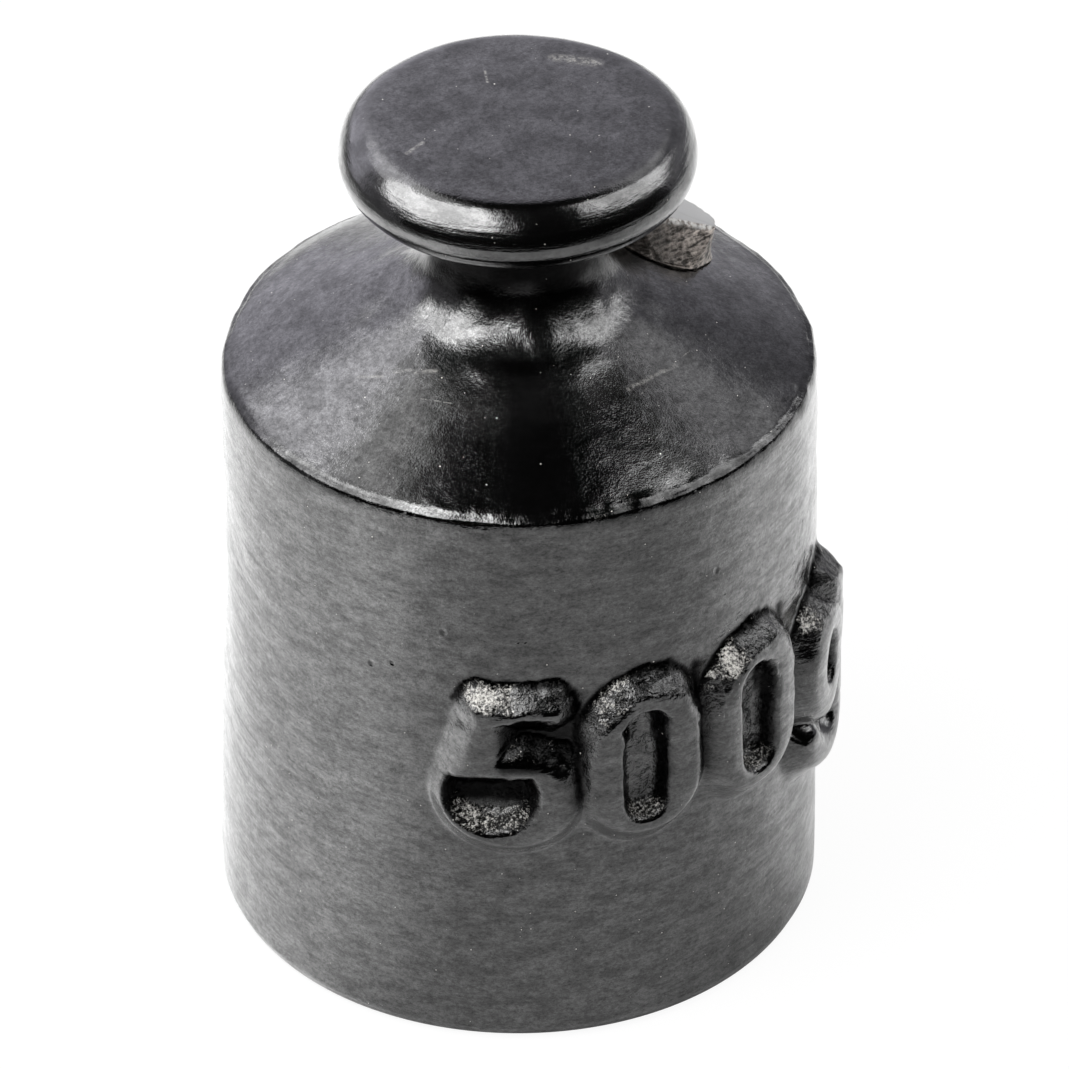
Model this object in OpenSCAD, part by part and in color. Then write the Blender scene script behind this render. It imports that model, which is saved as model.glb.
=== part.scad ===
// Knob weight of cast iron with an adjusting hole in its shoulder.
// Millimetres, +Z up, origin at the centre of the base, raised figures towards -Y, seal towards +X.

/* [Body] */
// Diameter of the body at the rim, where the wall meets the shoulder
rim_d = 41.6; // [38:0.1:48]
// Height of the body from the base to the rim
body_h = 44.9; // [38:0.1:56]
// Angle by which the wall leans out towards the base
wall_draft = 0.7; // [0:0.1:2]
// Radius of the edge around the base
base_edge_r = 1; // [0.4:0.1:2]
// Radius of the edge around the rim
rim_edge_r = 1.1; // [0.4:0.1:2]
// Angle at which the shoulder rises from the rim to the neck
shoulder_slope = 25; // [18:1:30]

/* [Neck and knob] */
// Diameter of the neck at its narrowest
neck_d = 11.9; // [10:0.1:14]
// Length of the neck between the top of the shoulder and the underside of the knob
neck_h = 7.5; // [6.6:0.1:12]
// Radius of the hollow where the shoulder turns up into the neck
neck_foot_r = 4.8; // [2:0.2:6]
// Radius of the hollow where the neck turns out under the knob
knob_under_r = 2; // [1:0.2:3]
// Diameter of the knob
knob_d = 25; // [22:0.1:26]
// Thickness of the knob at its edge
knob_t = 4.8; // [4.6:0.1:7]
// Radius that rounds the edge of the knob
knob_edge_r = 2.2; // [1:0.1:2.3]
// Height of the dome on top of the knob
knob_dome = 0.4; // [0.1:0.1:1.5]

/* [Raised figures] */
// Nominal mass as it is cast on the wall
mark = "500g"; // [500g, 500, 50g]
// Height of the feet of the digits above the base
figure_z = 17.9; // [8:0.1:26]
// Height of a digit
figure_h = 12.9; // [11.5:0.1:18]
// Width of a digit
figure_w = 8.9; // [7.5:0.1:9.4]
// Width of the upright strokes
upright_w = 3.2; // [2:0.1:3.3]
// Width of the level strokes
level_w = 2; // [1.2:0.1:2.2]
// Height of the bowl of the five
five_bowl_h = 8.5; // [7:0.1:9]
// Width of the bar on top of the five
five_bar_w = 7.4; // [5:0.1:8]
// Distance of the five's upright from the left side of its bowl
five_inset = 0.9; // [0:0.1:2]
// Opening between the five's upright and the tip of its bowl
five_gap = 1.2; // [0.6:0.1:2]
// Height of the letter above the feet of the digits
letter_h = 9.8; // [7.5:0.1:12]
// Width of the letter
letter_w = 8.3; // [7.5:0.1:9.4]
// How far the letter reaches below the feet of the digits
descent = 3.6; // [3:0.1:5]
// How far the faces of the figures stand out from the wall
figure_rise = 1.85; // [0.8:0.05:3]
// Angle around the body from one figure to the next
figure_pitch = 25; // [24:0.5:32]

/* [Adjusting hole] */
// Distance of the mouth of the hole from the axis of the body
hole_x = 12.1; // [11.8:0.1:14]
// Turn of the hole about the axis of the body
hole_turn = 4; // [0:1:12]
// Diameter of the mouth, which takes the disc and the seal
mouth_d = 8.5; // [7.8:0.1:9]
// Depth of the mouth down to the ledge that the disc rests on
mouth_depth = 4.6; // [4:0.1:7]
// Diameter of the bore that holds the shot
bore_d = 7; // [5.5:0.1:7.6]
// Depth of the bore below the ledge
bore_depth = 22; // [17:0.5:26]
// Depth of the groove around the mouth that keys the seal
groove_depth = 0.6; // [0.3:0.1:1]
// Width of that groove
groove_w = 1.2; // [0.8:0.1:1.8]

/* [Adjusting shot] */
// Diameter of one lead pellet
shot_d = 2.2; // [1.6:0.1:2.6]
// Height to which the bore is filled with pellets
shot_fill = 14; // [4:0.5:15]
// Gap between pellets, and between the pellets and the bore
shot_gap = 0.05; // [0.02:0.01:0.2]

/* [Closing disc] */
// Thickness of the disc
disc_t = 1.2; // [0.8:0.1:1.8]
// Gap around the disc in the mouth of the hole
disc_gap = 0.1; // [0.05:0.05:0.3]
// Diameter of the lifting hole in the middle of the disc
lifting_hole_d = 2; // [1.4:0.1:3]

/* [Seal] */
// How far the seal stands out of the shoulder
seal_proud = 2.7; // [1.8:0.1:4]
// Gap between the seal and the wall of the hole that it is driven into
seal_gap = 0.02; // [0.01:0.01:0.05]
// Distance from the axis of the seal to the top edge of its sheared side
shear_reach = 2.6; // [0.5:0.1:3]
// Angle of the sheared side from the axis of the seal
shear_angle = 33; // [20:1:55]
// Turn of the sheared side about the axis of the seal
shear_turn = 21; // [0:1:40]
// Slope of the two facets that the nippers left on top
nip_slope = 4; // [2:1:12]
// Turn of the ridge between those facets
nip_turn = 26; // [0:1:60]

/* [Hidden] */
$fn = 96;
// Straight runs in a rounded corner and along the dome of the knob
corner_steps = 8;
dome_steps = 5;
// Side of the blocks that shape the end of the seal, well larger than the seal
block = 30;
// How far a stroke runs past the faces that it is trimmed to
spare = 1;

rim_r = rim_d / 2;
neck_r = neck_d / 2;
knob_r = knob_d / 2;
mouth_r = mouth_d / 2;
seal_r = mouth_r - seal_gap;
seal_seat = mouth_depth - disc_t;
groove_z = -(seal_seat + groove_w) / 2;
shoulder_top = shoulder_height(neck_r);
knob_under_z = shoulder_top + neck_h;
knob_edge_z = knob_under_z + knob_t;
figure_face_r = wall_r(figure_z + figure_h / 2) + figure_rise;
figure_root_r = sqrt(pow(rim_r, 2) - pow(max(figure_w, letter_w) / 2, 2)) - spare;

// Radius of the wall at a height above the base
function wall_r(z) = rim_r + (body_h - z) * tan(wall_draft);

// Height of the shoulder at a distance from the axis
function shoulder_height(r) = body_h + (rim_r - r) * tan(shoulder_slope);

// Arc of radius r that rounds corner b between the straight runs to a and to c
function rounded_corner(a, b, c, r) =
    let (
        u = (a - b) / norm(a - b),
        v = (c - b) / norm(c - b),
        half = acos(u * v) / 2,
        centre = b + (u + v) / norm(u + v) * r / sin(half),
        from = b + u * r / tan(half) - centre,
        to = b + v * r / tan(half) - centre,
        start = atan2(from.y, from.x),
        turn = (atan2(to.y, to.x) - start + 540) % 360 - 180
    )
    [for (i = [0:corner_steps]) let (t = start + turn * i / corner_steps) centre + r * [cos(t), sin(t)]];

// Outline through corners given as [x, y, radius], where a radius of 0 leaves the corner sharp
function outline(corners) =
    let (
        n = len(corners),
        p = [for (c = corners) [c.x, c.y]]
    )
    [for (i = [0:n - 1]) each corners[i].z == 0
        ? [p[i]]
        : rounded_corner(p[(i + n - 1) % n], p[i], p[(i + 1) % n], corners[i].z)];

// Half section of the casting, from the middle of the base out and up to the middle of the knob
function casting_section() = outline(concat(
    [
        [0, 0, 0],
        [wall_r(0), 0, base_edge_r],
        [rim_r, body_h, rim_edge_r],
        [neck_r, shoulder_top, neck_foot_r],
        [neck_r, knob_under_z, knob_under_r],
        [knob_r, knob_under_z, knob_edge_r],
        [knob_r, knob_edge_z, knob_edge_r]
    ],
    [for (i = [1:dome_steps]) let (share = 1 - i / dome_steps)
        [knob_r * share, knob_edge_z + knob_dome * (1 - pow(share, 2)), 0]]
));

// Places its children at the mouth of the adjusting hole, square to the shoulder
module at_mouth() {
    rotate([0, 0, hole_turn])
        translate([hole_x, 0, shoulder_height(hole_x)])
            rotate([0, shoulder_slope, 0])
                children();
}

// Rectangle with well rounded ends, standing on y = 0 and centred on x = 0
module round_box(w, h) {
    r = 0.46 * min(w, h);
    polygon(outline([[-w / 2, 0, r], [w / 2, 0, r], [w / 2, h, r], [-w / 2, h, r]]));
}

// Closed stroke around a counter, as in a nought
module bowl(w, h) {
    difference() {
        round_box(w, h);
        translate([0, level_w])
            round_box(w - 2 * upright_w, h - 2 * level_w);
    }
}

module figure_nought() {
    bowl(figure_w, figure_h);
}

module figure_five() {
    stem_x = five_inset - figure_w / 2;
    stem_foot = (five_bowl_h + five_gap) / 2;
    difference() {
        bowl(figure_w, five_bowl_h);
        translate([-figure_w, stem_foot - five_gap])
            square([figure_w / 2 + upright_w, five_gap]);
    }
    translate([stem_x, stem_foot])
        square([upright_w, figure_h - stem_foot]);
    translate([stem_x, figure_h - level_w])
        square([five_bar_w, level_w]);
}

module figure_g() {
    bowl(letter_w, letter_h);
    difference() {
        translate([0, -descent])
            bowl(letter_w, letter_h + descent);
        translate([-letter_w, level_w - descent])
            square([letter_w * 3 / 2 - upright_w, letter_h + descent]);
    }
}

module figure(symbol) {
    if (symbol == "5") figure_five();
    if (symbol == "0") figure_nought();
    if (symbol == "g") figure_g();
}

// Figures side by side around the wall, their faces on one cylinder about the axis
module raised_figures() {
    last = len(mark) - 1;
    intersection() {
        for (i = [0:last])
            rotate([0, 0, (i - last / 2) * figure_pitch])
                translate([0, -figure_root_r, figure_z])
                    rotate([90, 0, 0])
                        linear_extrude(figure_face_r - figure_root_r + spare)
                            figure(mark[i]);
        cylinder(r = figure_face_r, h = body_h);
    }
}

// Hole for the shot, with a wider mouth for the disc and the seal
module adjusting_hole() {
    at_mouth() {
        translate([0, 0, -mouth_depth])
            cylinder(r = mouth_r, h = mouth_depth + seal_proud);
        translate([0, 0, -mouth_depth - bore_depth])
            cylinder(d = bore_d, h = bore_depth + mouth_depth);
        translate([0, 0, groove_z])
            cylinder(r = mouth_r + groove_depth, h = groove_w);
    }
}

// Body, shoulder, neck, knob and figures in one casting
module body_casting() {
    color([0.13, 0.13, 0.14])
        difference() {
            union() {
                rotate_extrude()
                    polygon(casting_section());
                raised_figures();
            }
            adjusting_hole();
        }
}

// Lead pellets in layers on the floor of the bore: a ring along the wall and one in the middle if it fits
module adjusting_shot() {
    pitch = shot_d + shot_gap;
    floor_z = -mouth_depth - bore_depth + shot_gap;
    ring_r = bore_d / 2 - shot_gap - shot_d / 2;
    ring_count = floor(180 / asin(pitch / 2 / ring_r));
    layers = floor(shot_fill / pitch);
    color([0.46, 0.47, 0.49])
        at_mouth()
            for (layer = [0:layers - 1])
                translate([0, 0, floor_z + shot_d / 2 + layer * pitch]) {
                    if (ring_r >= pitch) sphere(d = shot_d);
                    for (i = [0:ring_count - 1])
                        rotate([0, 0, (i + layer / 2) * 360 / ring_count])
                            translate([ring_r, 0, 0])
                                sphere(d = shot_d);
                }
}

// Brass disc on the ledge above the shot
module closing_disc() {
    color([0.72, 0.56, 0.26])
        at_mouth()
            translate([0, 0, -mouth_depth])
                difference() {
                    cylinder(r = mouth_r - disc_gap, h = disc_t);
                    translate([0, 0, -disc_t])
                        cylinder(d = lifting_hole_d, h = 3 * disc_t);
                }
}

// Lead driven into the mouth and its groove, then nipped off above the shoulder
module seal_plug() {
    color([0.5, 0.49, 0.48])
        at_mouth()
            difference() {
                union() {
                    translate([0, 0, -seal_seat])
                        cylinder(r = seal_r, h = seal_seat + seal_proud);
                    translate([0, 0, groove_z + seal_gap])
                        cylinder(r = seal_r + groove_depth, h = groove_w - 2 * seal_gap);
                }
                translate([0, 0, seal_proud])
                    nipped_facets();
                rotate([0, 0, -shear_turn])
                    translate([0, -shear_reach, seal_proud])
                        rotate([-shear_angle, 0, 0])
                            translate([-block / 2, -block, -seal_proud / cos(shear_angle)])
                                cube(block);
            }
}

// What the nippers took off the end: two slopes that leave a low ridge
module nipped_facets() {
    for (side = [0, 180])
        rotate([0, 0, nip_turn + side])
            rotate([0, nip_slope, 0])
                translate([0, -block / 2, 0])
                    cube(block);
}

body_casting();
adjusting_shot();
closing_disc();
seal_plug();
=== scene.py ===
# Knob weight of enamelled cast iron, 500 g, with the lead seal of its adjusting hole.
import math

import bpy
import numpy as np
from mathutils import Matrix, Vector


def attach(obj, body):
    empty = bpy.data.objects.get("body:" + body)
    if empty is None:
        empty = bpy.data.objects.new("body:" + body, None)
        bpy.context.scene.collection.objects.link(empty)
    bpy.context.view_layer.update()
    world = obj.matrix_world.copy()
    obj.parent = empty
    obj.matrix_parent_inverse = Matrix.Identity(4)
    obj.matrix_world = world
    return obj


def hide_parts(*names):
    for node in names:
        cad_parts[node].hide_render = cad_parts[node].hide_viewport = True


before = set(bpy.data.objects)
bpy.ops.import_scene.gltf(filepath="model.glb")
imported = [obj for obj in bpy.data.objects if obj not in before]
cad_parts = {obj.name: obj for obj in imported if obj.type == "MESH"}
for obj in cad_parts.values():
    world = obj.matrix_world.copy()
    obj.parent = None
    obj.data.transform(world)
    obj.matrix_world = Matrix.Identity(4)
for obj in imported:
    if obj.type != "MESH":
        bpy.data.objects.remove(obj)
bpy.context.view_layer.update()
MM = 0.001

# The camera stands in front of the weight and above it, with a long lens from about 0.74 m.
# It aims a little below and to the right of the middle of the rim.
rim_height = 44.9 * MM
camera_azimuth = math.radians(-35.6)
camera_elevation = math.radians(35.0)
camera_distance = 742.9 * MM
aim_right = 1.16 * MM
aim_down = 13.03 * MM
camera_lens = 356.5
camera_sensor = 36

to_right = Vector((math.cos(camera_azimuth), math.sin(camera_azimuth), 0))
to_back = Vector((-math.sin(camera_azimuth), math.cos(camera_azimuth), 0))
to_camera = Vector((0, 0, math.sin(camera_elevation))) - to_back * math.cos(camera_elevation)
rim_centre = Vector((0, 0, rim_height))
aim = rim_centre + to_right * aim_right - to_camera.cross(to_right) * aim_down

camera = bpy.data.objects.new("camera", bpy.data.cameras.new("camera"))
camera.data.lens = camera_lens
camera.data.sensor_width = camera_sensor
camera.location = rim_centre + to_camera * camera_distance
camera.rotation_mode = "QUATERNION"
camera.rotation_quaternion = (aim - camera.location).to_track_quat("-Z", "Y")
bpy.context.scene.collection.objects.link(camera)
bpy.context.scene.camera = camera
bpy.context.scene.view_settings.view_transform = "Standard"


# The floor and the curved backdrop are pale paper. It shows white to the camera and keeps the shadow of
# the weight.
# As gloss sees it, light is painted into it: lighter towards the left and the back, darker far to the
# left, lighter close to the weight against its shadow, and faintly violet where the backdrop glows.
floor_reach = 4
backdrop_radius = 1.15
backdrop_height = 1.7
backdrop_left = math.radians(-105)
backdrop_right = math.radians(75)
backdrop_strips = 36
shadow_start = 24 * MM
shadow_end = 55 * MM
shadow_lift = 1.18
far_left_share = 0.12
paper_shade = 0.36
paper_seen = 1.0
camera_glow = 0.93
gloss_tint = (0.98, 0.96, 1.07, 1)


def add(tree, kind, inputs=None, **settings):
    """Adds a node to a tree, sets its properties, and sets or links its inputs."""
    made = tree.nodes.new(kind)
    for name, value in settings.items():
        setattr(made, name, value)
    for key, value in (inputs or {}).items():
        socket = made.inputs[key]
        if isinstance(value, bpy.types.NodeSocket):
            tree.links.new(value, socket)
        else:
            socket.default_value = value
    return made


def math_in(tree, operation, *values):
    """A Math node in a tree."""
    return add(tree, "ShaderNodeMath", dict(enumerate(values)), operation=operation).outputs[0]


def vector_in(tree, operation, *values):
    """A Vector Math node in a tree. A length or a dot product is a single value."""
    made = add(tree, "ShaderNodeVectorMath", dict(enumerate(values)), operation=operation)
    return made.outputs["Value" if operation in ("LENGTH", "DOT_PRODUCT") else "Vector"]


def range_in(tree, value, start, end, low=0.0, high=1.0, **settings):
    """A Map Range node in a tree: low at start, high at end, and held beyond them."""
    return add(tree, "ShaderNodeMapRange", {"Value": value, "From Min": start, "From Max": end,
                                            "To Min": low, "To Max": high}, **settings).outputs[0]


def mix_in(tree, share, first, second):
    """A value between two others."""
    return add(tree, "ShaderNodeMix", {0: share, 2: first, 3: second}).outputs[0]


def colour_in(tree, share, first, second):
    """A colour between two others."""
    return add(tree, "ShaderNodeMix", {0: share, 6: first, 7: second}, data_type="RGBA").outputs[2]


def new_material(name):
    """An empty material and its node tree."""
    made = bpy.data.materials.new(name)
    made.use_nodes = True
    made.node_tree.nodes.clear()
    return made, made.node_tree


def object_from(name, points, faces):
    """A mesh object from plain points and faces."""
    mesh = bpy.data.meshes.new(name)
    mesh.from_pydata([tuple(p) for p in points], [], faces)
    mesh.update()
    made = bpy.data.objects.new(name, mesh)
    bpy.context.scene.collection.objects.link(made)
    return made


def make_paper(name, towards, dull_at, white_at, least, most, glow, left_lit, left_dark):
    """Paper whose colour, as gloss sees it, is painted lighter along one level direction, given as right
    and back: a painted pool of light.
    It is painted darker again beyond a distance to the left, and painted lighter close to the weight to
    cancel its shadow there."""
    paper, tree = new_material(name)
    across = to_right * towards[0] + to_back * towards[1]
    place = add(tree, "ShaderNodeTexCoord").outputs["Object"]
    level = vector_in(tree, "MULTIPLY", place, (1, 1, 0))
    from_axis = vector_in(tree, "LENGTH", level)
    # Painted light and shade for gloss: lighter close to the weight against its shadow, darker far to the
    # left, lighter along the given direction.
    close_by = range_in(tree, from_axis, shadow_start, shadow_end, shadow_lift, 1.0)
    leftward = vector_in(tree, "DOT_PRODUCT", level, -to_right)
    lit_there = range_in(tree, leftward, left_lit, left_dark, 1.0, far_left_share)
    reach = vector_in(tree, "DOT_PRODUCT", vector_in(tree, "NORMALIZE", level), across)
    bright = range_in(tree, reach, dull_at, white_at, least, most, interpolation_type="SMOOTHSTEP")
    bright = math_in(tree, "MULTIPLY", math_in(tree, "MULTIPLY", bright, lit_there), close_by)
    ray = add(tree, "ShaderNodeLightPath").outputs
    gloss = math_in(tree, "MAXIMUM", ray["Is Glossy Ray"], ray["Is Transmission Ray"])
    shade = mix_in(tree, ray["Is Camera Ray"], mix_in(tree, gloss, paper_shade, bright), paper_seen)
    lit = add(tree, "ShaderNodeBsdfDiffuse", {"Color": shade})
    # A faint violet tint, painted into what gloss sees of the glowing paper.
    tint = colour_in(tree, ray["Is Camera Ray"], gloss_tint, (1, 1, 1, 1))
    white = add(tree, "ShaderNodeEmission", {"Color": tint, "Strength": 1.0})
    glow = math_in(tree, "MULTIPLY", math_in(tree, "MULTIPLY", gloss, bright), glow)
    glow = mix_in(tree, ray["Is Camera Ray"], glow, camera_glow)
    mixed = add(tree, "ShaderNodeMixShader", {0: glow, 1: lit.outputs[0], 2: white.outputs[0]})
    add(tree, "ShaderNodeOutputMaterial", {"Surface": mixed.outputs[0]})
    return paper


floor_corners = [(-floor_reach, -floor_reach, 0), (floor_reach, -floor_reach, 0),
                 (floor_reach, floor_reach, 0), (-floor_reach, floor_reach, 0)]
floor = object_from("floor", floor_corners, [(0, 1, 2, 3)])
floor_paper = make_paper("floor_paper", towards=(-0.35, 0.94), dull_at=-0.92, white_at=-0.25, least=0.38,
                         most=0.88, glow=0.0, left_lit=0.13, left_dark=0.26)
floor.data.materials.append(floor_paper)
strip_ends = [to_right * math.sin(turn) + to_back * math.cos(turn)
              for turn in np.linspace(backdrop_left, backdrop_right, backdrop_strips + 1)]
edges = [end * backdrop_radius for end in strip_ends]
edges += [edge + Vector((0, 0, backdrop_height)) for edge in edges]
backdrop = object_from("backdrop", edges, [(i, i + 1, i + backdrop_strips + 2, i + backdrop_strips + 1)
                                           for i in range(backdrop_strips)])
backdrop_paper = make_paper("backdrop_paper", towards=(-1, 0), dull_at=-0.8, white_at=0.7, least=0.2,
                            most=0.95, glow=1.0, left_lit=1.0, left_dark=1.09)
backdrop.data.materials.append(backdrop_paper)

# The room is dim, so that black enamel stays black between the lamps, and white to the camera.
room_level = 0.003
world = bpy.data.worlds.new("studio")
world.use_nodes = True
world.node_tree.nodes.clear()
bpy.context.scene.world = world
seen = add(world.node_tree, "ShaderNodeLightPath").outputs["Is Camera Ray"]
level = mix_in(world.node_tree, seen, room_level, 1.0)
sky = add(world.node_tree, "ShaderNodeBackground", {"Color": (1, 1, 1, 1), "Strength": level})
add(world.node_tree, "ShaderNodeOutputWorld", {"Surface": sky.outputs[0]})


# Softboxes hang level above the weight: a strong pair over its front left, a weaker one over its
# right, and three faint ones behind. The strip between them stays dark in the enamel.
lamp_height = 0.4
turned_right = (0.766, 0.643)


def softbox(name, corner, along, length, width, radiance):
    """A level lamp from a corner, along a direction, both given as right and back. The corner, the length
    and the width are shares of its height."""
    long_side = (to_right * along[0] + to_back * along[1]).normalized()
    short_side = Vector((0, 0, 1)).cross(long_side)
    middle = to_right * corner[0] + to_back * corner[1] + long_side * length / 2 + short_side * width / 2
    lamp = bpy.data.lights.new(name, "AREA")
    lamp.shape = "RECTANGLE"
    lamp.size = length * lamp_height
    lamp.size_y = width * lamp_height
    lamp.energy = radiance * math.pi * lamp.size * lamp.size_y
    made = bpy.data.objects.new(name, lamp)
    turn = Matrix((long_side, short_side, Vector((0, 0, 1)))).transposed().to_4x4()
    made.matrix_world = Matrix.Translation(rim_centre + (middle + Vector((0, 0, 1))) * lamp_height) @ turn
    made.visible_camera = False
    bpy.context.scene.collection.objects.link(made)
    return made


softbox("front_softbox", corner=(-0.2, -0.06), along=(-1, 0), length=2.15, width=1.1, radiance=5.0)
softbox("left_softbox", corner=(-0.68, 0.38), along=(-1, 0), length=1.67, width=0.44, radiance=5.0)
softbox("right_softbox", corner=(0.97, -0.785), along=turned_right, length=2.4, width=1.03, radiance=2.4)
softbox("back_softbox", corner=(-0.95, 0.03), along=(1, 0), length=0.65, width=1.1, radiance=1.3)
softbox("side_softbox", corner=(-1.7, 0.38), along=(1, 0), length=0.75, width=0.6, radiance=1.1)
softbox("rear_softbox", corner=(0.55, 0.35), along=turned_right, length=0.65, width=0.6, radiance=0.6)

# A wide even fill brightens the paper and whatever is dull, and doesn't show in the gloss.
fill = softbox("fill", corner=(-1.2, -1.2), along=(1, 0), length=2.4, width=2.4, radiance=1.2)
fill.visible_glossy = False


# The casting: body, shoulder, neck and knob in one piece of grey iron, poured in sand, with the
# figures of the nominal mass raised on its wall, and brushed all over with black stove enamel.
rim_radius = 20.8 * MM
base_radius = 21.35 * MM
base_edge = 1.0 * MM
rim_edge = 1.1 * MM
shoulder_slope = math.radians(25)
neck_radius = 5.95 * MM
neck_height = 7.5 * MM
neck_foot = 5.9 * MM
knob_hollow = 2.0 * MM
knob_radius = 12.5 * MM
knob_thickness = 4.8 * MM
knob_edge = 2.2 * MM
knob_dome = 0.4 * MM
figure_face = 22.9 * MM
arc_steps = 40

turning = bpy.data.node_groups.new("turned_casting", "GeometryNodeTree")
sizes = {
    "Base Radius": base_radius, "Rim Radius": rim_radius, "Rim Height": rim_height,
    "Shoulder Slope": shoulder_slope, "Neck Radius": neck_radius, "Neck Height": neck_height,
    "Knob Radius": knob_radius, "Knob Thickness": knob_thickness, "Knob Dome": knob_dome,
    "Base Edge": base_edge, "Rim Edge": rim_edge, "Neck Foot": neck_foot,
    "Knob Hollow": knob_hollow, "Knob Edge": knob_edge,
}
turning.interface.new_socket("Sheet", in_out="INPUT", socket_type="NodeSocketGeometry")
turning.interface.new_socket("Casting", in_out="OUTPUT", socket_type="NodeSocketGeometry")
size_sockets = {name: turning.interface.new_socket(name, in_out="INPUT", socket_type="NodeSocketFloat")
                for name in sizes}
given = add(turning, "NodeGroupInput").outputs


def calculate(operation, *values):
    """A Math node in the turning tree."""
    return math_in(turning, operation, *values)


neck_inset = calculate("SUBTRACT", given["Rim Radius"], given["Neck Radius"])
shoulder_rise = calculate("MULTIPLY", neck_inset, calculate("TANGENT", given["Shoulder Slope"]))
shoulder_top = calculate("ADD", given["Rim Height"], shoulder_rise)
knob_under = calculate("ADD", shoulder_top, given["Neck Height"])
knob_top = calculate("ADD", knob_under, given["Knob Thickness"])
corners = [
    (0.0, 0.0, 0.0),
    (given["Base Radius"], 0.0, given["Base Edge"]),
    (given["Rim Radius"], given["Rim Height"], given["Rim Edge"]),
    (given["Neck Radius"], shoulder_top, given["Neck Foot"]),
    (given["Neck Radius"], knob_under, given["Knob Hollow"]),
    (given["Knob Radius"], knob_under, given["Knob Edge"]),
    (given["Knob Radius"], knob_top, given["Knob Edge"]),
    (0.0, knob_top, 0.0),
]
corner_number = add(turning, "GeometryNodeInputIndex").outputs[0]
places = add(turning, "GeometryNodeIndexSwitch", {0: corner_number}, data_type="VECTOR")
rounds = add(turning, "GeometryNodeIndexSwitch", {0: corner_number}, data_type="FLOAT")
while len(places.index_switch_items) < len(corners):
    places.index_switch_items.new()
    rounds.index_switch_items.new()
for number, (radius, height, rounding) in enumerate(corners):
    place = add(turning, "ShaderNodeCombineXYZ", {"X": radius, "Z": height}).outputs[0]
    turning.links.new(place, places.inputs[number + 1])
    if isinstance(rounding, float):
        rounds.inputs[number + 1].default_value = rounding
    else:
        turning.links.new(rounding, rounds.inputs[number + 1])
line = add(turning, "GeometryNodeMeshLine", {"Count": len(corners)})
line = add(turning, "GeometryNodeSetPosition", {"Geometry": line.outputs[0],
                                                "Position": places.outputs[0]})
profile = add(turning, "GeometryNodeMeshToCurve", {"Mesh": line.outputs[0]})
profile = add(turning, "GeometryNodeFilletCurve", {
    "Curve": profile.outputs[0], "Radius": rounds.outputs[0], "Count": arc_steps}, mode="POLY")
turn = add(turning, "GeometryNodeInputNamedAttribute", {"Name": "turn"}, data_type="FLOAT").outputs[0]
along = add(turning, "GeometryNodeInputNamedAttribute", {"Name": "along"}, data_type="FLOAT").outputs[0]
section = add(turning, "GeometryNodeSampleCurve", {"Curves": profile.outputs[0], "Length": along},
              mode="LENGTH", data_type="FLOAT")
place = add(turning, "ShaderNodeSeparateXYZ", {0: section.outputs["Position"]}).outputs
edge_start = calculate("SUBTRACT", knob_top, given["Knob Edge"])
on_top = range_in(turning, place["Z"], edge_start, knob_top)
share = calculate("DIVIDE", place["X"], given["Knob Radius"])
bulge = calculate("SUBTRACT", 1.0, calculate("MULTIPLY", share, share))
bulge = calculate("MULTIPLY", calculate("MULTIPLY", bulge, on_top), given["Knob Dome"])
turned = add(turning, "ShaderNodeCombineXYZ", {
    "X": calculate("MULTIPLY", place["X"], calculate("SINE", turn)),
    "Y": calculate("MULTIPLY", place["X"], calculate("MULTIPLY", calculate("COSINE", turn), -1.0)),
    "Z": calculate("ADD", place["Z"], bulge)}).outputs[0]
skin = add(turning, "GeometryNodeSetPosition", {"Geometry": given["Sheet"], "Position": turned})
skin = add(turning, "GeometryNodeRealizeInstances", {0: skin.outputs[0]})
skin = add(turning, "GeometryNodeSetMaterial", {"Geometry": skin.outputs[0]})
add(turning, "NodeGroupOutput", {0: skin.outputs[0]})

# The sheet that the tree turns into the casting: rows along the profile, each with its distance
# from the middle of the base, and columns around it. The rows across the figures have finer columns.
figure_span = math.radians(58)
figure_low = 12.6 * MM
figure_high = 34.4 * MM
column_front = 0.54 * MM
column_back = 0.9 * MM
finer = 3
# Each stretch of the profile: its length, how far its rows are apart, and if its columns are finer.
stretches = [
    (base_radius - base_edge, 2.5 * MM, False),
    (base_edge * 2, 0.22 * MM, False),
    (figure_low - base_edge, 0.5 * MM, False),
    (figure_high - figure_low, 0.178 * MM, True),
    (rim_height - figure_high - 0.8 * MM, 0.4 * MM, False),
    (2.4 * MM, 0.13 * MM, True),
    (11.6 * MM, 0.36 * MM, False),
    (7.0 * MM, 0.26 * MM, False),
    (5.0 * MM, 0.22 * MM, False),
    (2.2 * MM, 0.34 * MM, False),
    (8.0 * MM, 0.2 * MM, False),
    (9.6 * MM, 0.5 * MM, False),
]
front_columns = math.ceil(2 * figure_span * figure_face / column_front)
back_columns = math.ceil((2 * math.pi - 2 * figure_span) * figure_face / column_back)
front_turns = np.linspace(-figure_span, figure_span, front_columns * finer, endpoint=False)
back_turns = np.linspace(figure_span, 2 * math.pi - figure_span, back_columns, endpoint=False)
fine_turns = np.concatenate([front_turns, back_turns])
coarse_picks = np.concatenate([np.arange(0, front_columns * finer, finer),
                               np.arange(front_columns * finer, len(fine_turns))])
rows = []
reached = 0.0
for length, spacing, is_fine in stretches:
    steps = math.ceil(length / spacing)
    rows += [(reached + length * (step + 1) / steps, is_fine) for step in range(steps)]
    reached += length

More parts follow.
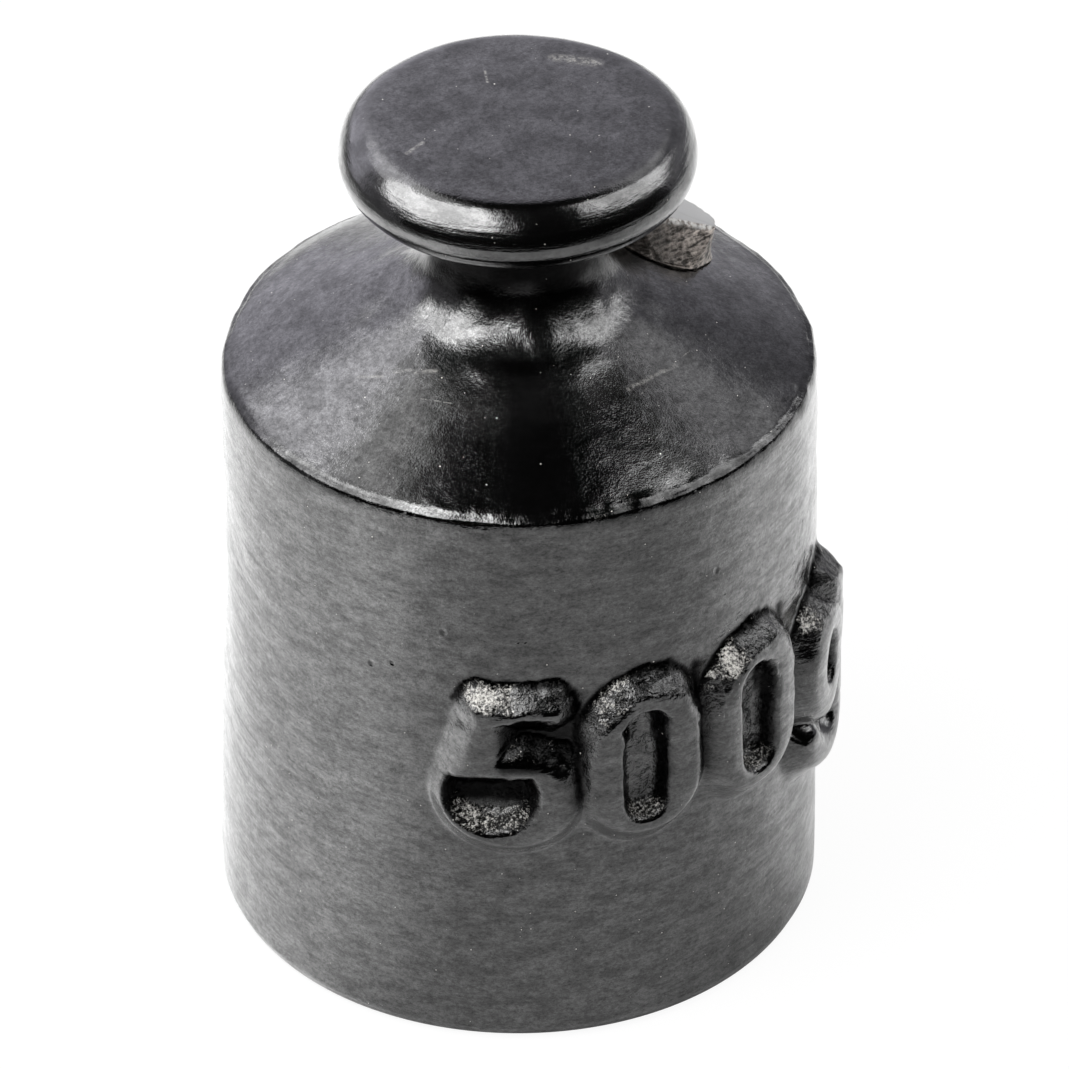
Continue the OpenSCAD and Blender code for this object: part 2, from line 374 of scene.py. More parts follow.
turns, alongs, faces, below = [0.0], [0.0], [], None
for distance, is_fine in rows:
    picks = np.arange(len(fine_turns)) if is_fine else coarse_picks
    row = {"picks": picks, "place": {int(p): len(turns) + i for i, p in enumerate(picks)}}
    turns += list(fine_turns[picks])
    alongs += [distance] * len(picks)
    stops = coarse_picks if below is None or len(picks) != len(below["picks"]) else picks
    for start, end in zip(stops, np.append(stops[1:], len(fine_turns))):
        wrapped = int(end) % len(fine_turns)
        upper = [row["place"][p] for p in range(int(start), int(end)) if p in row["place"]]
        upper = [row["place"][wrapped]] + upper[::-1]
        if below is None:
            faces.append([0] + upper)
            continue
        lower = [below["place"][p] for p in range(int(start), int(end)) if p in below["place"]]
        faces.append(lower + [below["place"][wrapped]] + upper)
    below = row
top_point = len(turns)
turns.append(0.0)
alongs.append(1.0)
ring = [below["place"][int(p)] for p in below["picks"]]
faces += [[a, b, top_point] for a, b in zip(ring, ring[1:] + ring[:1])]


def set_values(shown, **values):
    """Writes values for each point of an object's mesh, by name."""
    for name, numbers in values.items():
        layer = shown.data.attributes.new(name, "FLOAT", "POINT")
        layer.data.foreach_set("value", np.array(numbers, np.float32))


sheet = object_from("casting_sheet", np.zeros((len(turns), 3)), faces)
set_values(sheet, turn=turns, along=alongs)
sheet.data.polygons.foreach_set("use_smooth", [True] * len(faces))

enamel, enamel_tree = new_material("black_enamel")
turner = sheet.modifiers.new("turned", "NODES")
turner.node_group = turning
for name, value in sizes.items():
    turner[size_sockets[name].identifier] = value
skin.inputs["Material"].default_value = enamel
bpy.context.view_layer.update()
evaluated = sheet.evaluated_get(bpy.context.evaluated_depsgraph_get())
casting = bpy.data.objects.new("enamelled_casting", bpy.data.meshes.new_from_object(evaluated))
bpy.context.scene.collection.objects.link(casting)
bpy.data.objects.remove(sheet)

# What the pattern, the sand and a long life add to the turned shape, in millimetres. First the raised
# figures: 500g, with flat faces on one cylinder and sloping sides, as a pattern needs to leave the sand.
figure_pitch = 9.983
figure_side = 1.78
counter_side = 0.8
figure_shift = 0.3
figure_foot_z = 18.32
figure_top_z = 29.85


def lumps(places, size, seed):
    """Smooth random values from -1 to 1 that change over a given size."""
    lattice = np.random.default_rng(seed).uniform(-1, 1, (32, 32, 32))
    scaled = np.asarray(places) / size + 0.37
    corner = np.floor(scaled).astype(int)
    share = scaled - corner
    share = share ** 3 * (share * (share * 6 - 15) + 10)
    total = np.zeros(len(scaled))
    for step in np.ndindex(2, 2, 2):
        near = (corner + step) % 32
        weight = np.prod(np.where(step, share, 1 - share), axis=1)
        total += weight * lattice[near[:, 0], near[:, 1], near[:, 2]]
    return total


def soft_min(a, b, width):
    """The lower of two values, blended over a width."""
    share = np.clip(0.5 + 0.5 * (b - a) / width, 0, 1)
    return b + (a - b) * share - width * share * (1 - share)


def ramp(values, start, end):
    """A smooth step from 0 at start to 1 at end."""
    share = np.clip((values - start) / (end - start), 0, 1)
    return share * share * (3 - 2 * share)


def box_distance(x, z, left, right, low, high, corner):
    """Distance outside a box with rounded corners, negative inside."""
    out_x = np.abs(x - (left + right) / 2) - (right - left) / 2 + corner
    out_z = np.abs(z - (low + high) / 2) - (high - low) / 2 + corner
    outside = np.hypot(np.maximum(out_x, 0), np.maximum(out_z, 0))
    return outside + np.minimum(np.maximum(out_x, out_z), 0) - corner


def oval_distance(x, z, middle_x, middle_z, half_width, half_height):
    """Distance outside an upright oval, negative inside."""
    near = np.hypot((x - middle_x) / half_width, (z - middle_z) / half_height) + 1e-6
    slope = np.hypot((x - middle_x) / half_width ** 2, (z - middle_z) / half_height ** 2) + 1e-6
    return near * (near - 1) / slope


def raised(distance, side):
    """Share of the full rise at a distance outside the edge of a face."""
    share = soft_min(1 - distance / side, 1.0, 0.22)
    crown = 0.08 * (1 - np.exp(np.minimum(distance, 0) / 0.8))
    return crown - soft_min(-share, 0.0, 0.3)


def nought(x, z):
    """Shares of the rise outside and inside a nought. The sand has eaten into its upper left."""
    outer = box_distance(x, z, -3.96, 3.96, figure_foot_z, figure_top_z, 3.66)
    outer = outer + 0.35 * ramp(z, 25.5, 29.0) * ramp(-x, -1.0, 2.5)
    counter = box_distance(x, z, -2.0, 1.65, 19.3, 28.95, 1.75)
    return raised(outer, figure_side), raised(-counter, counter_side)


def five(x, z):
    """Shares of the rise outside and inside a five: its bar and stem, and its open bowl."""
    bar = box_distance(x, z, -2.8, 3.4, 29.2, 29.85, 0.2)
    stem = box_distance(x, z, -2.6 - 0.28 * (29.8 - z), -1.2, 24.4, 29.8, 0.2)
    bowl = oval_distance(x, z, -0.1, 21.95, 4.6, 3.65)
    pocket = np.maximum(oval_distance(x, z, -1.6, 22.5, 3.7, 3.15), z - 24.3)
    strokes = raised(np.minimum(bar, stem), figure_side)
    inner = raised(-pocket, 1.3)
    return np.maximum(raised(bowl, figure_side), strokes), np.maximum(inner, strokes)


def letter_g(x, z):
    """Shares of the rise outside and inside a g: its bowl, its upright and its tail."""
    bowl = oval_distance(x, z, 0.2, 22.4, 3.6, 4.35)
    hole = oval_distance(x, z, 0.2, 22.6, 1.3, 2.3)
    upright = box_distance(x, z, 2.0, 4.15, 16.9, 27.9, 0.3)
    tail = np.maximum(oval_distance(x, z, 0.2, 17.2, 3.95, 3.0),
                      -oval_distance(x, z, 0.2, 17.2, 2.0, 1.5))
    tail = np.minimum(np.maximum(tail, z - 17.2), np.hypot(x + 2.8, z - 16.9) - 0.9)
    outer = raised(np.minimum(np.minimum(bowl, upright), tail), figure_side)
    return outer, np.maximum(raised(-hole, counter_side), raised(upright, figure_side))


skin_points = np.empty(len(casting.data.vertices) * 3)
casting.data.vertices.foreach_get("co", skin_points)
skin_points = skin_points.reshape(-1, 3) / MM
radius = np.hypot(skin_points[:, 0], skin_points[:, 1])
heading = np.arctan2(skin_points[:, 0], -skin_points[:, 1])
height = skin_points[:, 2]
across = heading * figure_face / MM - figure_shift
wall = (radius > 20) & (height > 1) & (height < rim_height / MM)
rise = np.zeros(len(radius))
beside = np.zeros(len(radius))
leftness = np.zeros(len(radius))
rough = np.zeros(len(radius))
dull = np.zeros(len(radius))
eaten = 0.28 * lumps(skin_points, 1.4, 11) + 0.14 * lumps(skin_points, 0.6, 12)
eaten *= ramp(height + 0.8 * lumps(skin_points, 2.0, 1), 24.0, 26.5)
for order, glyph in ((-1.5, five), (-0.5, nought), (0.5, nought), (1.5, letter_g)):
    middle = across - order * figure_pitch
    outer, inner = glyph(middle + eaten, height + eaten)
    share = np.clip(np.minimum(outer, inner), 0, 1.1)
    rise = -soft_min(-rise, -share, 0.12)
    beside = np.maximum(beside, share)
    inside = ramp(outer, 0.05, 0.4) * ramp(inner, 1.0, 0.8)
    rough = np.maximum(rough, inside)
    # Painted shade: inside the counters and recesses the enamel loses its shine.
    dull = np.maximum(dull, inside * ramp(inner, 0.1, 0.35))
    # Painted shade in the five's pocket and in the notch under its bar.
    if glyph is five:
        dull = np.maximum(dull, inside * ramp(height + eaten, 20.4, 21.6))
        notch = ramp(middle, -1.4, -0.6) * ramp(middle, 5.4, 4.6)
        notch *= ramp(height, 24.4, 25.2) * ramp(height, 29.0, 28.2)
        dull = np.maximum(dull, 0.9 * notch)
    # The left part of each figure, where the lamps catch it most: the painted glints gather there.
    spot_end = -1.0 if glyph is five else 0.6
    spot = ramp(-middle, spot_end, spot_end + 2) * ramp(-middle, 5.2, 3.8)
    leftness = np.where(np.abs(middle) < figure_pitch / 2, spot, leftness)
rise = np.where(wall, np.clip(rise, 0, 1.1), 0)
sides = ramp(rise, 0.0, 0.25) * ramp(rise, 1.0, 0.9)
upper = ramp(height + 0.8 * lumps(skin_points, 2.0, 1), 24.6, 26.6)
left_of_five = ramp(across + 1.5 * figure_pitch, -2.6, -3.6) * ramp(height, 29.9, 29.0)
rough = np.maximum(rough, sides * upper * (1 - left_of_five))
# Painted shade round the feet of the figures, in their upper parts.
foot = ramp(beside, 0.01, 0.08) * ramp(beside, 0.45, 0.2)
dull = np.maximum(dull, foot * upper * (1 - left_of_five))
# Painted shade in the slots between the figures, which are also rough.
for gap in (-1, 0, 1):
    from_gap = across - gap * figure_pitch + 0.2 + eaten
    between = np.exp(-(from_gap / 0.75) ** 2) * ramp(height, 19.6, 22.0) * ramp(height, 31.0, 30.0)
    dull = np.maximum(dull, between)
    rough = np.maximum(rough, between)
rough = np.where(wall, rough, 0)
dull = np.where(wall, dull, 0)
figured = rough.copy()
crags = 0.15 * lumps(skin_points, 1.1, 2) + 0.1 * lumps(skin_points, 0.45, 3)
face_radius = figure_face / MM + 0.25 * ramp(heading, 0.4, 0.65)
new_radius = radius + rise * (face_radius - radius) + crags * rough

# Then the hollow on the left of the wall, a rim that is rounder at the back left, a knob that is rounder
# in front than at the back, and the small waves that are left all over the casting.
wall_hollow = 0.35
rim_loss = 0.4
knob_flatter = 0.36
flatter_width = 3.84
knob_drop = 0.1
view_heading = np.degrees(heading - camera_azimuth)
from_left = (view_heading + 90 + 180) % 360 - 180
to_rim = np.hypot(radius - rim_radius / MM, height - rim_height / MM)
hollow = np.exp(-((height - 30) / 12) ** 2) * ramp(height, 44, 40) * np.exp(-(from_left / 38) ** 2)
new_radius -= wall_hollow * hollow * (radius > 15)
back_left = ramp(from_left, 15, -20) * ramp(from_left, -110, -70)
new_radius -= rim_loss * back_left * np.exp(-(to_rim / 1.6) ** 2)
on_knob = ramp(height, 60, 62)
in_front = 0.5 + 0.5 * np.cos(np.radians(view_heading))
edge_radius = (knob_radius - knob_edge) / MM
edge_height = skin_points[:, 2].max() - (knob_dome + knob_edge) / MM
slope_turn = np.degrees(np.arctan2(height - edge_height, radius - edge_radius))
past_edge = np.where(radius > edge_radius, knob_edge / MM * np.radians(90 - slope_turn),
                     radius - edge_radius)
past_edge = -soft_min(-past_edge, 0.0, 1.1)
slope_turn = np.radians(np.minimum(slope_turn, 90))
flatter = knob_flatter * np.sin(np.pi * np.clip(past_edge / flatter_width, 0, 1))
flatter *= on_knob * ramp(in_front, 0.2, 0.7)
new_radius -= flatter * np.cos(slope_turn)
skin_points[:, 2] -= flatter * np.sin(slope_turn)
skin_points[:, 2] -= knob_drop * on_knob * ramp(in_front, 0.65, 0.1) * ramp(radius, 3.0, 9.0)
grown = np.where(radius > 0.01, new_radius / np.maximum(radius, 0.01), 1)
skin_points[:, 0] *= grown
skin_points[:, 1] *= grown
casting.data.vertices.foreach_set("co", (skin_points * MM).ravel())
casting.data.update()

normals = np.empty(len(skin_points) * 3)
casting.data.vertex_normals.foreach_get("vector", normals)
normals = normals.reshape(-1, 3)
rim_band = np.exp(-(to_rim / 0.9) ** 2)
foot_band = np.exp(-((radius - 8.0) / 3.0) ** 2) * ramp(height, 47, 49) * ramp(height, 58.5, 55.5)
waves = 0.07 * lumps(skin_points, 9.0, 4) + 0.035 * lumps(skin_points, 4.0, 5)
waves += 0.007 * lumps(skin_points, 1.8, 6)
waves += 0.06 * wall * lumps(skin_points * (1, 1, 1.6), 5.0, 16)
waves += foot_band * (0.1 * lumps(skin_points, 2.2, 7) + 0.03 * lumps(skin_points, 1.1, 8))
waves += rim_band * (0.08 * lumps(skin_points, 1.5, 9) + 0.035 * lumps(skin_points, 0.7, 10))
skin_points += normals * (waves * ramp(height, 0.2, 2.5))[:, None]
casting.data.vertices.foreach_set("co", (skin_points * MM).ravel())
casting.data.update()

# The enamel follows how rough the iron is under it. Shade is painted into it as lost shine: round the neck
# under the knob, in the corners beside and inside the figures, and on the rim away from the front. Glints
# are painted on the figures' upward slopes.
# Painted glints: pale specks on the figures' upward slopes, most on the left part of each figure, where
# the lamps catch it.
dusty = figured * ramp(normals[:, 2], 0.25, 0.6) * (0.1 + 0.9 * leftness)
dusty *= np.clip(0.6 + 1.2 * lumps(skin_points, 1.0, 14), 0, 1.2)
dusty = np.maximum(dusty, 0.5 * figured * ramp(normals[:, 2], 0.3, 0.6) * ramp(height, 24.0, 22.5))
# Painted shade under the painted glints: the upward slopes of the figures lose their shine.
dull = np.maximum(dull, np.maximum(0.75 * dusty, 0.45 * figured * ramp(normals[:, 2], 0.25, 0.6)))
rough = np.clip(rough + 0.2 * foot_band + 0.2 * rim_band, 0, 1)
# Painted shade: under the knob, round the neck, the enamel loses its shine.
under_knob = ramp(height + 0.9 * lumps(skin_points, 2.5, 13), 51.2, 54.6) * ramp(height, 60.5, 59.5)
under_knob *= ramp(radius, 11.6, 9.0)
dull = np.maximum(dull, under_knob)
# Painted shade: the rim loses most of its shine all round except a stretch facing the camera, so its
# highlight shows only there.
rim_rubbed = np.exp(-(to_rim / 0.7) ** 2) * (1 - ramp(view_heading, -28, -20) * ramp(view_heading, 10, 4))
dull = np.maximum(dull, 0.8 * rim_rubbed * np.clip(0.8 + 0.6 * lumps(skin_points, 0.8, 15), 0, 1))
blurred = np.maximum(foot_band, 0.35 * on_knob * ramp(radius, 8.0, 10.5))
polished = 0.7 * on_knob * ramp(radius, 9.5, 10.8)
set_values(casting, rough=rough, dull=dull, dusty=dusty, blurred=blurred, polished=polished)


def new_group(name, inputs, outputs):
    """A shader node group with named sockets, and its input and output nodes."""
    group = bpy.data.node_groups.new(name, "ShaderNodeTree")
    for label, kind in inputs.items():
        group.interface.new_socket(label, in_out="INPUT", socket_type="NodeSocket" + kind)
    for label, kind in outputs.items():
        group.interface.new_socket(label, in_out="OUTPUT", socket_type="NodeSocket" + kind)
    return group, add(group, "NodeGroupInput").outputs, add(group, "NodeGroupOutput")


def noise_in(tree, place, scale, detail=2.0, roughness=0.5):
    """A noise from 0 to 1 in a tree."""
    return add(tree, "ShaderNodeTexNoise", {"Vector": place, "Scale": scale, "Detail": detail,
                                            "Roughness": roughness}).outputs[0]


# Grain: fine pimples and soft waves everywhere, and crinkles where the iron is rough. In millimetres.
grain, given, out = new_group("enamel_grain", {"Place": "Vector", "Rough": "Float"}, {"Height": "Float"})
fine = math_in(grain, "MULTIPLY", noise_in(grain, given["Place"], 8.0), 0.012)
soft = math_in(grain, "MULTIPLY", noise_in(grain, given["Place"], 0.7), 0.032)
crinkle = noise_in(grain, given["Place"], 3.0, 3.0, 0.6)
crinkle = math_in(grain, "MULTIPLY", math_in(grain, "MULTIPLY", crinkle, given["Rough"]), 0.12)
total = math_in(grain, "ADD", math_in(grain, "ADD", fine, soft), crinkle)
grain.links.new(total, out.inputs["Height"])

# Brush marks: level round the wall and the knob, and down the slope on the shoulder.
brush, given, out = new_group("brush_marks", {"Place": "Vector"}, {"Height": "Float"})
flat = vector_in(brush, "MULTIPLY", given["Place"], (1.0, 1.0, 0.0))
spoke = vector_in(brush, "MULTIPLY", vector_in(brush, "NORMALIZE", flat), (30.0, 30.0, 30.0))
reach = math_in(brush, "MULTIPLY", vector_in(brush, "LENGTH", flat), 0.15)
spoke = vector_in(brush, "ADD", spoke, add(brush, "ShaderNodeCombineXYZ", {"Z": reach}).outputs[0])
radial = noise_in(brush, spoke, 1.0)
level = noise_in(brush, vector_in(brush, "MULTIPLY", given["Place"], (0.2, 0.2, 2.6)), 1.0, 3.0)
tall = add(brush, "ShaderNodeSeparateXYZ", {0: given["Place"]}).outputs["Z"]
over_rim = range_in(brush, tall, 44.2, 45.2)
over_neck = range_in(brush, tall, 57.0, 58.5)
marks = mix_in(brush, math_in(brush, "SUBTRACT", over_rim, over_neck),
               math_in(brush, "MULTIPLY", level, 0.034), math_in(brush, "MULTIPLY", radial, 0.009))
brush.links.new(marks, out.inputs["Height"])

# Dust: single pale specks of different sizes, far apart.
dust, given, out = new_group("dust_specks", {"Place": "Vector", "Size": "Float"}, {"Mask": "Float"})
cells = add(dust, "ShaderNodeTexVoronoi", {"Vector": given["Place"], "Scale": 1.8})
chance = add(dust, "ShaderNodeSeparateColor", {0: cells.outputs["Color"]}).outputs[0]
chance = math_in(dust, "MULTIPLY", math_in(dust, "POWER", chance, 4.0), given["Size"])
speck = math_in(dust, "LESS_THAN", cells.outputs["Distance"], chance)
dust.links.new(speck, out.inputs["Mask"])

# A mark: a scratch, a pit or a hair, as the places within a width of a line between two points.
mark, given, out = new_group("mark", {"Place": "Vector", "Start": "Vector", "End": "Vector",
                                      "Width": "Float"}, {"Mask": "Float"})
span = vector_in(mark, "SUBTRACT", given["End"], given["Start"])
offset = vector_in(mark, "SUBTRACT", given["Place"], given["Start"])
share = math_in(mark, "DIVIDE", vector_in(mark, "DOT_PRODUCT", offset, span),
                vector_in(mark, "DOT_PRODUCT", span, span))
share = add(mark, "ShaderNodeClamp", {0: share}).outputs[0]
nearest = add(mark, "ShaderNodeVectorMath", {0: span, "Scale": share}, operation="SCALE").outputs[0]
away = vector_in(mark, "LENGTH", vector_in(mark, "SUBTRACT", offset, nearest))
near_mark = range_in(mark, math_in(mark, "DIVIDE", away, given["Width"]), 1.0, 0.3)
mark.links.new(near_mark, out.inputs["Mask"])


def polar(heading_degrees, from_axis, up):
    """The point of the skin nearest to a heading, a distance from the axis and a height."""
    turn = math.radians(heading_degrees)
    place = (from_axis * math.sin(turn), -from_axis * math.cos(turn), up)
    return tuple(skin_points[np.argmin(np.sum((skin_points - place) ** 2, axis=1))])


# Where the enamel is scratched: on the shoulder in front and on its left, with a hair on the knob.
scratches = [
    (polar(1.0, 12.66, 48.69), polar(22.2, 12.99, 48.54), 0.24),
    (polar(3.8, 13.33, 48.38), polar(29.8, 13.17, 48.45), 0.07),
    (polar(-88.6, 13.87, 48.12), polar(-82.0, 12.71, 48.67), 0.18),
    (polar(-80.1, 12.14, 48.94), polar(-76.1, 11.49, 49.24), 0.18),
    (polar(-74.0, 11.46, 49.25), polar(-66.1, 10.88, 49.52), 0.22),
    (polar(-67.1, 13.08, 48.49), polar(-56.2, 12.71, 48.67), 0.07),
    (polar(165.7, 6.5, 64.42), polar(171.0, 4.8, 64.46), 0.14),
    (polar(125.5, 8.1, 64.3), polar(106.9, 8.9, 64.3), 0.7),
    (polar(-96.3, 8.7, 64.3), polar(-99.7, 7.4, 64.3), 0.22),
    (polar(-37.9, 22.9, 18.6), polar(-36.7, 22.9, 19.76), 0.08),
]
# Pits in the wall, each as the place of its middle.
pits = [(polar(-50.2, 20.9, 35.1), 0.32), (polar(-64.1, 20.9, 31.1), 0.3),
        (polar(-59.7, 20.9, 31.6), 0.22), (polar(6.0, 20.9, 37.2), 0.3)]


def in_millimetres(tree):
    """The place on an object, in millimetres."""
    place = add(tree, "ShaderNodeTexCoord").outputs["Object"]
    return vector_in(tree, "MULTIPLY", place, (1000, 1000, 1000))


def point_value(tree, name):
    """A value that the mesh holds for each of its points."""
    return add(tree, "ShaderNodeAttribute", attribute_name=name).outputs["Fac"]


def enamel_group(group, **inputs):
    """One of the groups above in the enamel, with its inputs set, or linked after that."""
    made = add(enamel_tree, "ShaderNodeGroup", node_tree=group)
    enamel_tree.links.new(place, made.inputs["Place"])
    for label, value in inputs.items():
        if isinstance(value, bpy.types.NodeSocket):
            enamel_tree.links.new(value, made.inputs[label])
        else:
            made.inputs[label].default_value = value
    return made.outputs[0]


place = in_millimetres(enamel_tree)


def marks_at(lines):
    """The strongest of several marks in the enamel."""
    strongest = 0.0
    for start, end, width in lines:
        one = enamel_group(mark, Start=start, End=end, Width=width)
        strongest = math_in(enamel_tree, "MAXIMUM", strongest, one)
    return strongest


relief = enamel_group(grain, Rough=point_value(enamel_tree, "rough"))
strokes = enamel_group(brush)
specks = enamel_group(dust, Size=0.09)
scratched = marks_at(scratches)
broken = range_in(enamel_tree, noise_in(enamel_tree, place, 3.0, 5.0, 0.8), 0.42, 0.72)
scratched = math_in(enamel_tree, "MULTIPLY", scratched, broken)
# Painted glints: pale specks in the colour of dust, where the mesh holds painted glints.
settled = point_value(enamel_tree, "dusty")
crumbs = math_in(enamel_tree, "ADD", noise_in(enamel_tree, place, 4.5, 4.0, 0.9),
                 math_in(enamel_tree, "MULTIPLY", settled, 0.16))
crumbs = range_in(enamel_tree, crumbs, 0.6, 0.74)
crumbs = math_in(enamel_tree, "MULTIPLY", crumbs, range_in(enamel_tree, settled, 0.0, 0.3))
pitted = marks_at([(middle, tuple(np.add(middle, (0, 0, 0.05))), width) for middle, width in pits])
# Painted shade, and the pits at half strength, take the shine away.
sooty = math_in(enamel_tree, "MAXIMUM", point_value(enamel_tree, "dull"),
                math_in(enamel_tree, "MULTIPLY", pitted, 0.5))
pale = math_in(enamel_tree, "MAXIMUM", specks, math_in(enamel_tree, "MULTIPLY", scratched, 0.4))
pale = math_in(enamel_tree, "MAXIMUM", pale, math_in(enamel_tree, "MULTIPLY", crumbs, 0.95))
surface = math_in(enamel_tree, "ADD", relief, strokes)
surface = math_in(enamel_tree, "ADD", surface, math_in(enamel_tree, "MULTIPLY", specks, 0.05))
surface = math_in(enamel_tree, "SUBTRACT", surface, math_in(enamel_tree, "MULTIPLY", pitted, 0.06))
bump = add(enamel_tree, "ShaderNodeBump", {"Height": surface, "Distance": 0.001})
enamel_black = (0.0003, 0.0003, 0.0003, 1)
dust_colour = (0.78, 0.76, 0.72, 1)
colour = colour_in(enamel_tree, pale, enamel_black, dust_colour)

# How much of the enamel's shine is left: less in clouds and where it is worn, none under dust and painted
# glints, less on scratches, almost none where shade is painted, and half in pits.
cloudy = noise_in(enamel_tree, vector_in(enamel_tree, "MULTIPLY", place, (0.42, 0.42, 1.1)), 1.0, 4.0, 0.7)
cloudy = range_in(enamel_tree, cloudy, 0.38, 0.6, 0.4, 1.05)
worn = noise_in(enamel_tree, vector_in(enamel_tree, "MULTIPLY", place, (1.0, 1.0, 1.6)), 2.2, 3.0, 1.0)
worn = range_in(enamel_tree, worn, 0.3, 0.7, 0.4, 1.2)
worn = mix_in(enamel_tree, point_value(enamel_tree, "polished"), worn, 0.95)
covered = math_in(enamel_tree, "MAXIMUM", pale, math_in(enamel_tree, "MULTIPLY", sooty, 0.97))
clean = math_in(enamel_tree, "MULTIPLY", math_in(enamel_tree, "SUBTRACT", 1.0, covered), worn)
blurred = math_in(enamel_tree, "MULTIPLY", point_value(enamel_tree, "blurred"), 0.15)
shader = add(enamel_tree, "ShaderNodeBsdfPrincipled", {
    "Base Color": colour, "Roughness": 0.14, "IOR": 1.5,
    "Specular IOR Level": math_in(enamel_tree, "ADD", 0.02, math_in(enamel_tree, "MULTIPLY", clean, 0.98)),
    "Coat Weight": math_in(enamel_tree, "MULTIPLY", clean, cloudy), "Coat IOR": 1.98,
    "Coat Roughness": math_in(enamel_tree, "ADD", 0.1, blurred),
    "Normal": bump.outputs[0], "Coat Normal": bump.outputs[0]})
add(enamel_tree, "ShaderNodeOutputMaterial", {"Surface": shader.outputs[0]})

# The adjusting hole: a mouth with a groove for the seal, a ledge for the disc and a bore for the shot.
# It is drilled square to the shoulder after casting, so its wall is bare turned iron.
hole_reach = 12.1 * MM
hole_turn = math.radians(4)
hole_profile = [(0.0, -26.6), (3.5, -26.6), (3.5, -4.6), (4.25, -4.6), (4.25, -2.3), (4.85, -2.3),
                (4.85, -1.1), (4.25, -1.1), (4.25, 3.2), (0.0, 3.2)]
hole_strips = 96
hole_height = rim_height + (rim_radius - hole_reach) * math.tan(shoulder_slope)
at_mouth = (Matrix.Rotation(hole_turn, 4, "Z") @ Matrix.Translation((hole_reach, 0, hole_height))
            @ Matrix.Rotation(shoulder_slope, 4, "Y"))

iron, tree = new_material("bare_iron")
place = add(tree, "ShaderNodeTexCoord").outputs["Object"]
turning_marks = noise_in(tree, vector_in(tree, "MULTIPLY", place, (300, 300, 6000)), 1.0)
roughness = math_in(tree, "ADD", math_in(tree, "MULTIPLY", turning_marks, 0.3), 0.3)
shader = add(tree, "ShaderNodeBsdfPrincipled", {
    "Base Color": (0.16, 0.15, 0.14, 1), "Metallic": 1.0, "Roughness": roughness})
add(tree, "ShaderNodeOutputMaterial", {"Surface": shader.outputs[0]})

drill_points = [at_mouth @ (Vector((0, 0, z)) * MM) for r, z in hole_profile if r == 0]
drill_faces = []
rings = [(r, z) for r, z in hole_profile if r > 0]
for r, z in rings:
    drill_points += [at_mouth @ (Vector((r * math.cos(t), r * math.sin(t), z)) * MM)
                     for t in np.linspace(0, 2 * math.pi, hole_strips, endpoint=False)]
for step in range(hole_strips):
    following = (step + 1) % hole_strips
    for ring in range(len(rings) - 1):
        low, high = 2 + ring * hole_strips, 2 + (ring + 1) * hole_strips
        drill_faces.append((low + step, low + following, high + following, high + step))
    drill_faces.append((0, 2 + following, 2 + step))
    last = 2 + (len(rings) - 1) * hole_strips
    drill_faces.append((1, last + step, last + following))
drill = object_from("drill", drill_points, drill_faces)
drill.data.materials.append(iron)
casting.data.materials.append(iron)
drilling = casting.modifiers.new("drilled", "BOOLEAN")
drilling.operation = "DIFFERENCE"
drilling.object = drill
drilling.solver = "EXACT"
drilling.material_mode = "TRANSFER"
evaluated = casting.evaluated_get(bpy.context.evaluated_depsgraph_get())
drilled = bpy.data.meshes.new_from_object(evaluated)
casting.modifiers.remove(drilling)
casting.data = drilled
bpy.data.objects.remove(drill)
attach(casting, "root")
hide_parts("body_casting")

# The seal: lead driven into the mouth and its groove over the disc, then nipped off. Its top is smooth
# and pale, the sheared side is torn, brown and scored, and a lip is smeared over the enamel round it.
seal_proud = 2.65
seal_waist = 4.0
seal_lip = 4.32
seal_profile = [(0.0, -3.38), (4.15, -3.38), (4.15, -2.26), (4.8, -2.26), (4.8, -1.14), (4.15, -1.14),
                (4.15, 0.02), (seal_lip - 0.08, 0.04), (seal_lip, 0.1), (seal_lip - 0.14, 0.3),
                (seal_waist + 0.08, 0.95), (seal_waist, seal_proud)]
seal_columns = 260
seal_spacing = 0.09
shear_reach = 2.25
shear_angle = math.radians(33)
shear_turn = math.radians(15)
crease_at = (0.97, -1.26)
crease_turn = math.radians(-50)
lip_slip = 0.5
shoulder_bend = 28.5

seal_rows = [seal_profile[0]]
for (r0, z0), (r1, z1) in zip(seal_profile, seal_profile[1:]):
    fine = seal_spacing if z1 > 0 else 0.4
    steps = math.ceil(math.hypot(r1 - r0, z1 - z0) / fine)
    seal_rows += [(r0 + (r1 - r0) * s / steps, z0 + (z1 - z0) * s / steps) for s in range(1, steps + 1)]
top_steps = math.ceil(seal_waist / seal_spacing)
seal_rows += [(seal_waist * (1 - s / top_steps), seal_proud) for s in range(1, top_steps + 1)]
seal_turns = np.linspace(0, 2 * math.pi, seal_columns, endpoint=False)
reach, rest = np.array(seal_rows[1:-1]).T
seal_x = np.outer(reach, np.cos(seal_turns)).ravel()
seal_y = np.outer(reach, np.sin(seal_turns)).ravel()
seal_z = np.repeat(rest, seal_columns)
seal_x = np.concatenate([[0.0], seal_x, [0.0]])
seal_y = np.concatenate([[0.0], seal_y, [0.0]])
seal_z = np.concatenate([[seal_rows[0][1]], seal_z, [seal_proud]])

